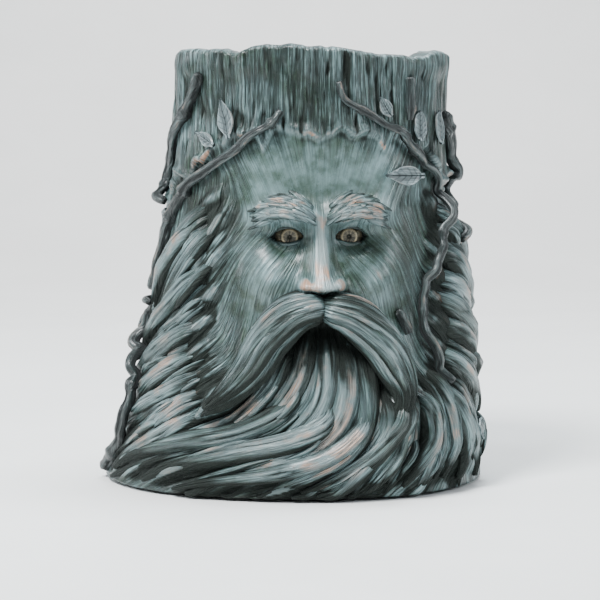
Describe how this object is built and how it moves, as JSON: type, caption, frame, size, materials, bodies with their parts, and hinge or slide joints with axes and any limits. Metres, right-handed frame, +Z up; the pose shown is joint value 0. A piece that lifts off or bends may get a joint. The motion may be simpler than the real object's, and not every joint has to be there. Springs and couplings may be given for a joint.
{
  "type": "garden planter",
  "caption": "Hollow tree-stump garden planter with a calm bearded woodland face, bonded vines and leaves, a base plate with a lift-out drain plug, and rubber foot pads.",
  "frame": {"origin": "on the ground under the middle of the planter's bounding box, at the undersides of its foot pads", "axes": "+Z up; the face looks along -Y, and +X is to the right of somebody who faces it"},
  "size_m": [0.3861, 0.3693, 0.4299],
  "materials": {
    "bronze_green": "cast resin composite painted as green-black bronze patina, with rubbed copper edges, semi-gloss",
    "vine_bronze": "cast resin composite painted as near-black bronze, semi-gloss",
    "leaf_green": "cast resin composite painted pale blue-green, semi-gloss",
    "plate_grey": "unpainted cast resin composite, matt",
    "rubber_black": "moulded black rubber, matt"
  },
  "bodies": {
    "planter": {"stump_shell": "bronze_green", "base_plate": "plate_grey", "foot_pad_front_left": "rubber_black", "foot_pad_front_right": "rubber_black", "foot_pad_back_left": "rubber_black", "foot_pad_back_right": "rubber_black", "vine_brow_left": "vine_bronze", "vine_side_left": "vine_bronze", "twig_upper_left": "vine_bronze", "vine_brow_right": "vine_bronze", "twig_upper_right": "vine_bronze", "vine_side_right": "vine_bronze", "vine_back": "vine_bronze", "tendril_left": "vine_bronze", "bud_right": "vine_bronze", "leaf_brow_left_large": "leaf_green", "leaf_brow_left_small": "leaf_green", "leaf_edge_left": "leaf_green", "leaf_fork_right": "leaf_green", "leaf_oval_right": "leaf_green", "leaf_edge_right": "leaf_green", "leaf_temple_right": "leaf_green", "leaf_ivy_upper": "leaf_green", "leaf_ivy_lower": "leaf_green", "leaf_back_upper": "leaf_green", "leaf_back_lower": "leaf_green"},
    "plug": {"drain_plug": "rubber_black"}
  },
  "joints": [
    {"name": "plug_lift", "type": "slide", "parent": "planter", "child": "plug", "axis": [0, 0, 1], "range_m": [0, 0.06]}
  ]
}
